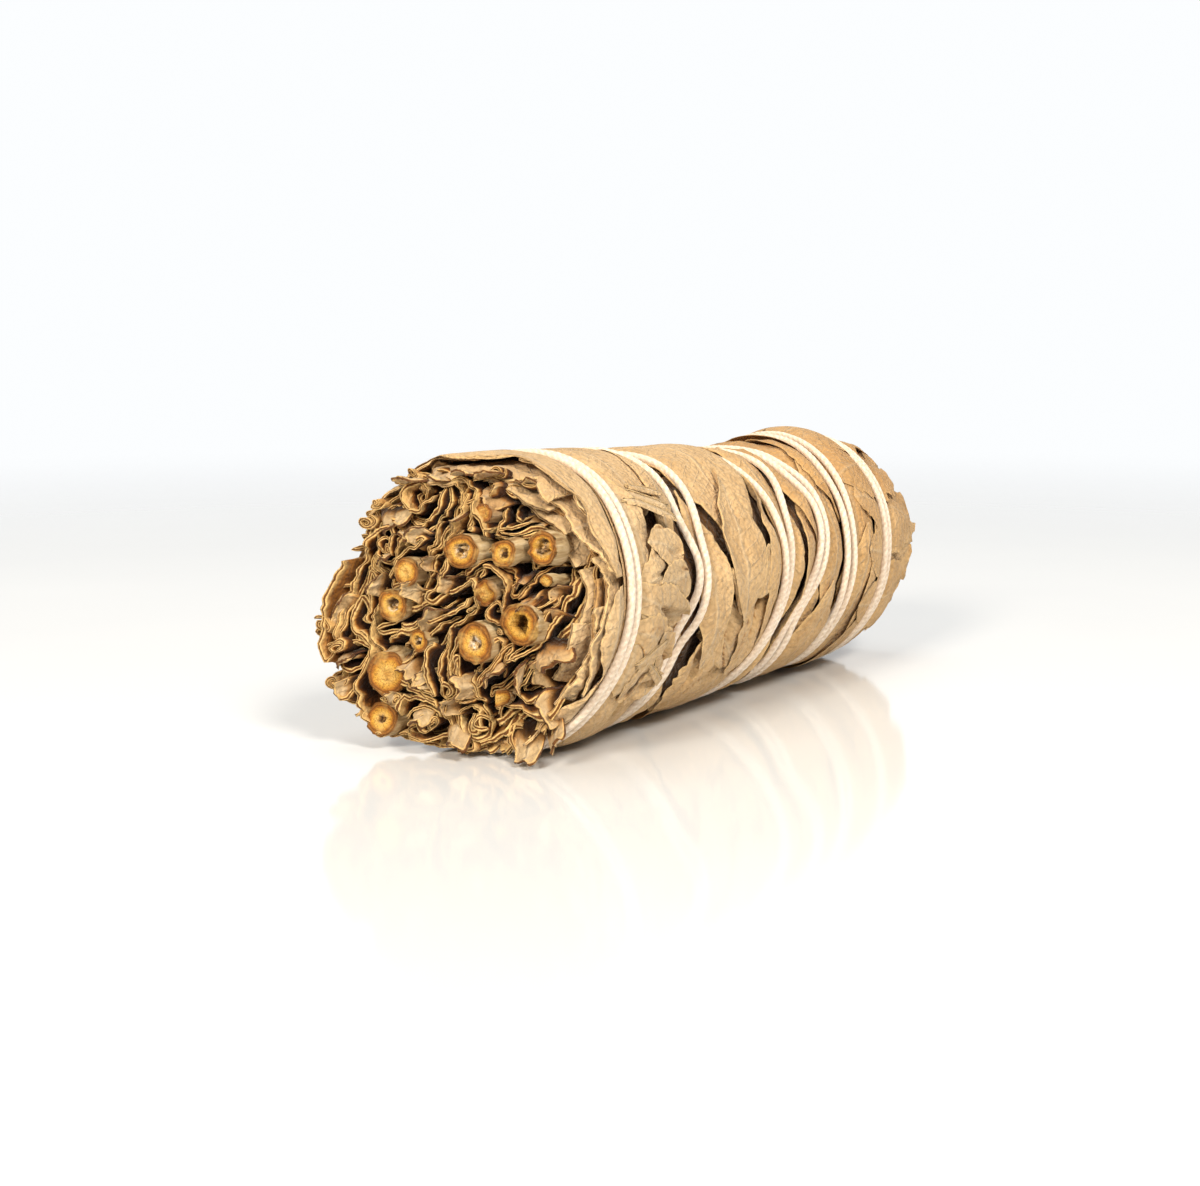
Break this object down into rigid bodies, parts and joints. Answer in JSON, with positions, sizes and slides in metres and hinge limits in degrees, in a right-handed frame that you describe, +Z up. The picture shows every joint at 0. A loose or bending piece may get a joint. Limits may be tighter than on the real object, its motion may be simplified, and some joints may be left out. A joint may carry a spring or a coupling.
{
  "type": "dried sage bunch",
  "caption": "Bunch of dried sage lying on its side: cut woody stems and folded leaves at one end, broad velvety leaves wrapped round it, bound with paired turns of cotton string.",
  "frame": {"origin": "on the resting surface, under the middle of the bunch's box", "axes": "+X along the bunch from the cut stems to the leaf tips, +Z up"},
  "size_m": [0.1002, 0.0374, 0.0367],
  "materials": {
    "core_leaf": "matt, velvety, dry",
    "wrap_leaf": "matt, velvety, dry",
    "stem": "raw cut wood with bark",
    "string": "undyed twisted cotton"
  },
  "bodies": {
    "root": {"core_leaf_01": "core_leaf", "core_leaf_02": "core_leaf", "core_leaf_03": "core_leaf", "core_leaf_04": "core_leaf", "core_leaf_05": "core_leaf", "core_leaf_06": "core_leaf", "core_leaf_07": "core_leaf", "core_leaf_08": "core_leaf", "core_leaf_09": "core_leaf", "core_leaf_10": "core_leaf", "core_leaf_11": "core_leaf", "core_leaf_12": "core_leaf", "core_leaf_13": "core_leaf", "core_leaf_14": "core_leaf", "core_leaf_15": "core_leaf", "core_leaf_16": "core_leaf", "core_leaf_17": "core_leaf", "core_leaf_18": "core_leaf", "core_leaf_19": "core_leaf", "core_leaf_20": "core_leaf", "core_leaf_21": "core_leaf", "core_leaf_22": "core_leaf", "core_leaf_23": "core_leaf", "core_leaf_24": "core_leaf", "core_leaf_25": "core_leaf", "core_leaf_26": "core_leaf", "core_leaf_27": "core_leaf", "core_leaf_28": "core_leaf", "core_leaf_29": "core_leaf", "core_leaf_30": "core_leaf", "core_leaf_31": "core_leaf", "core_leaf_32": "core_leaf", "stem_01": "stem", "stem_02": "stem", "stem_03": "stem", "stem_04": "stem", "stem_05": "stem", "stem_06": "stem", "stem_07": "stem", "stem_08": "stem", "stem_09": "stem", "stem_10": "stem", "stem_11": "stem", "stem_12": "stem", "stem_13": "stem", "stem_14": "stem", "string_knot": "string", "tie_string": "string", "wrap_leaf_01": "wrap_leaf", "wrap_leaf_02": "wrap_leaf", "wrap_leaf_03": "wrap_leaf", "wrap_leaf_04": "wrap_leaf", "wrap_leaf_05": "wrap_leaf", "wrap_leaf_06": "wrap_leaf", "wrap_leaf_07": "wrap_leaf", "wrap_leaf_08": "wrap_leaf", "wrap_leaf_09": "wrap_leaf", "wrap_leaf_10": "wrap_leaf", "wrap_leaf_11": "wrap_leaf", "wrap_leaf_12": "wrap_leaf"}
  },
  "joints": []
}
